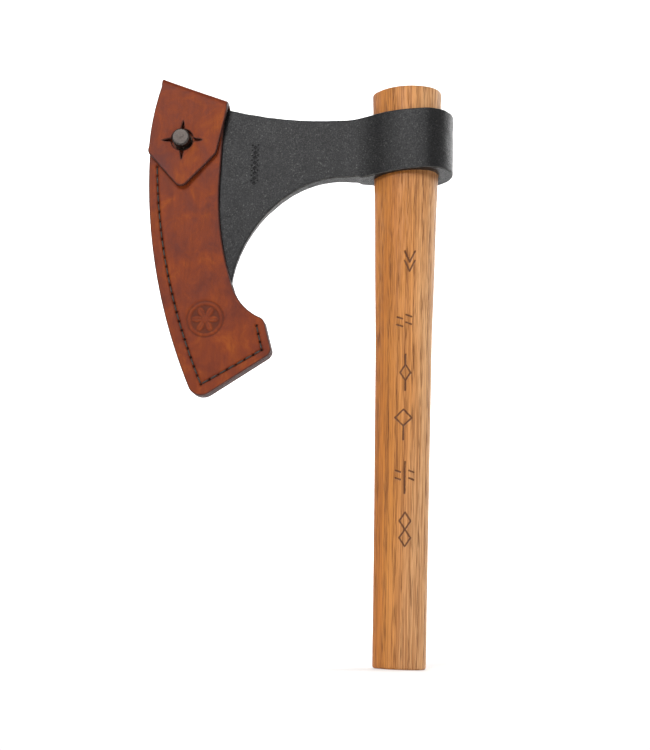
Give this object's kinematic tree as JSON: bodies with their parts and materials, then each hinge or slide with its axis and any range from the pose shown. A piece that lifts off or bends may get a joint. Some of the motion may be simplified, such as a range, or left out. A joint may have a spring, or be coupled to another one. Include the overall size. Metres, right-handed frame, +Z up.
{
  "type": "hatchet",
  "caption": "Bearded hatchet: a forged head on a slip-fit oval hardwood handle, with a stitched leather edge sheath closed by a flap over a stud.",
  "frame": {"origin": "centre of the flat lower end of the handle", "axes": "+Z up the handle to the head, -X from the handle to the cutting edge, -Y out of the sheath's front face"},
  "size_m": [0.1978, 0.0366, 0.3737],
  "materials": {
    "black_steel": "hammer-forged with a matt black finish",
    "handle_wood": "oiled, open grain",
    "red_brown_leather": "vegetable-tanned and burnished",
    "dark_leather_edge": "dyed, waxed edge",
    "worn_steel": "tumbled, dark in the hollows",
    "waxed_thread": "twisted and waxed"
  },
  "bodies": {
    "head": {"axe_head": "black_steel"},
    "handle": {"handle": "handle_wood"},
    "sheath": {"sheath_back_panel": "red_brown_leather", "sheath_front_panel": "red_brown_leather", "sheath_welt": "dark_leather_edge", "flap_fold": "red_brown_leather", "closure_stud": "worn_steel", "stud_screw": "worn_steel", "seam_front_thread": "waxed_thread", "seam_back_thread": "waxed_thread"},
    "flap": {"closing_flap": "red_brown_leather"}
  },
  "joints": [
    {"name": "handle_slip", "type": "slide", "parent": "head", "child": "handle", "axis": [0, 0, 1], "range_m": [0, 0.35]},
    {"name": "sheath_slip", "type": "slide", "parent": "head", "child": "sheath", "axis": [-0.2079, 0, -0.9781], "range_m": [0, 0.205]},
    {"name": "flap_hinge", "type": "hinge", "parent": "sheath", "child": "flap", "pos_m": [-0.13925, -0.00555, 0.35843], "axis": [-0.9358, 0, 0.3525], "range_deg": [0, 150], "deforming": ["flap_fold"]}
  ]
}
